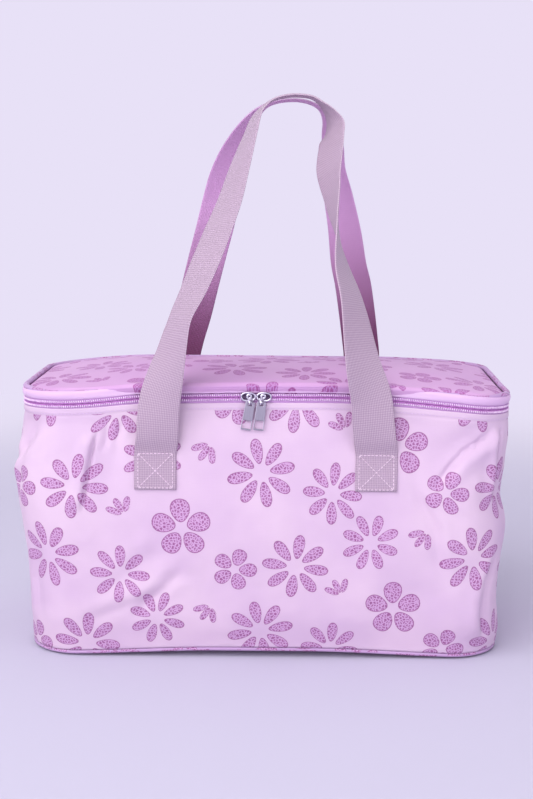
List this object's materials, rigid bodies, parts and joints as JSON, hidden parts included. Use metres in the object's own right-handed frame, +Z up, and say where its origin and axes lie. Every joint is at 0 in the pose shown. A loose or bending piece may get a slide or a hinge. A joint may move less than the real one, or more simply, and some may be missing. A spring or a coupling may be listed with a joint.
{
  "type": "cooler bag",
  "caption": "Insulated fabric cooler bag with a zipped hinged lid, webbing carrying loops at front and rear, foam walls and a wipe-clean lining.",
  "frame": {"origin": "centre of the flat underside of the base", "axes": "+X to the right across the front, +Y from the zip-puller side to the hinge side, +Z up"},
  "size_m": [0.4544, 0.2675, 0.5179],
  "materials": {
    "printed_fabric": "satin",
    "plain_fabric": "satin",
    "webbing": "matte",
    "zip_tape": "matte",
    "zip_coil": "satin",
    "slider_metal": "polished",
    "puller_metal": "brushed",
    "foam": "matte",
    "board": "matte",
    "lining": "satin",
    "thread": "matte"
  },
  "bodies": {
    "root": {"outer_wall": "printed_fabric", "base_welt": "printed_fabric", "base_panel": "printed_fabric", "base_board": "board", "wall_foam": "foam", "base_foam": "foam", "wall_lining": "lining", "base_lining": "lining", "mouth_binding": "zip_tape", "lower_zip_tape": "zip_tape", "lower_zip_coil": "zip_coil", "hinge_strip_lower": "plain_fabric", "front_left_strap_end": "webbing", "front_right_strap_end": "webbing", "rear_left_strap_end": "webbing", "rear_right_strap_end": "webbing", "front_left_box_stitch": "thread", "front_right_box_stitch": "thread", "rear_left_box_stitch": "thread", "rear_right_box_stitch": "thread"},
    "lid": {"lid_top_panel": "printed_fabric", "lid_welt": "printed_fabric", "lid_band": "plain_fabric", "lid_foam": "foam", "lid_lining": "lining", "lid_binding": "zip_tape", "upper_zip_tape": "zip_tape", "upper_zip_coil": "zip_coil", "hinge_strip_upper": "plain_fabric"},
    "left_slider": {"left_slider": "slider_metal"},
    "right_slider": {"right_slider": "slider_metal"},
    "left_puller": {"left_puller": "puller_metal"},
    "right_puller": {"right_puller": "puller_metal"},
    "front_handle": {"front_handle_webbing": "webbing"},
    "rear_risers": {"rear_left_riser": "webbing", "rear_right_riser": "webbing"},
    "rear_handle": {"rear_handle_webbing": "webbing"}
  },
  "joints": [
    {"name": "lid_hinge", "type": "hinge", "parent": "root", "child": "lid", "pos_m": [0, 0.1132, 0.2402], "axis": [-1, 0, 0], "range_deg": [0, 100]},
    {"name": "left_slider_slide", "type": "slide", "parent": "root", "child": "left_slider", "axis": [-1, 0, 0], "range_m": [0, 0.15]},
    {"name": "right_slider_slide", "type": "slide", "parent": "root", "child": "right_slider", "axis": [1, 0, 0], "range_m": [0, 0.15]},
    {"name": "left_puller_swing", "type": "hinge", "parent": "left_slider", "child": "left_puller", "pos_m": [-0.0145, -0.11635, 0.2402], "axis": [-1, 0, 0], "range_deg": [0, 150]},
    {"name": "right_puller_swing", "type": "hinge", "parent": "right_slider", "child": "right_puller", "pos_m": [-0.0043, -0.11635, 0.2402], "axis": [-1, 0, 0], "range_deg": [0, 150]},
    {"name": "front_handle_swing", "type": "hinge", "parent": "root", "child": "front_handle", "pos_m": [0, -0.11737, 0.193], "axis": [1, 0, 0], "range_deg": [0, 135]},
    {"name": "rear_riser_tilt", "type": "hinge", "parent": "root", "child": "rear_risers", "pos_m": [0, 0.11737, 0.193], "axis": [-1, 0, 0], "range_deg": [0, 36]},
    {"name": "rear_handle_swing", "type": "hinge", "parent": "rear_risers", "child": "rear_handle", "pos_m": [0, 0.1273, 0.255], "axis": [-1, 0, 0], "range_deg": [0, 125]}
  ],
  "couplings": [
    {"joint": "rear_riser_tilt", "follows": "lid_hinge", "ratio": 0.36}
  ]
}
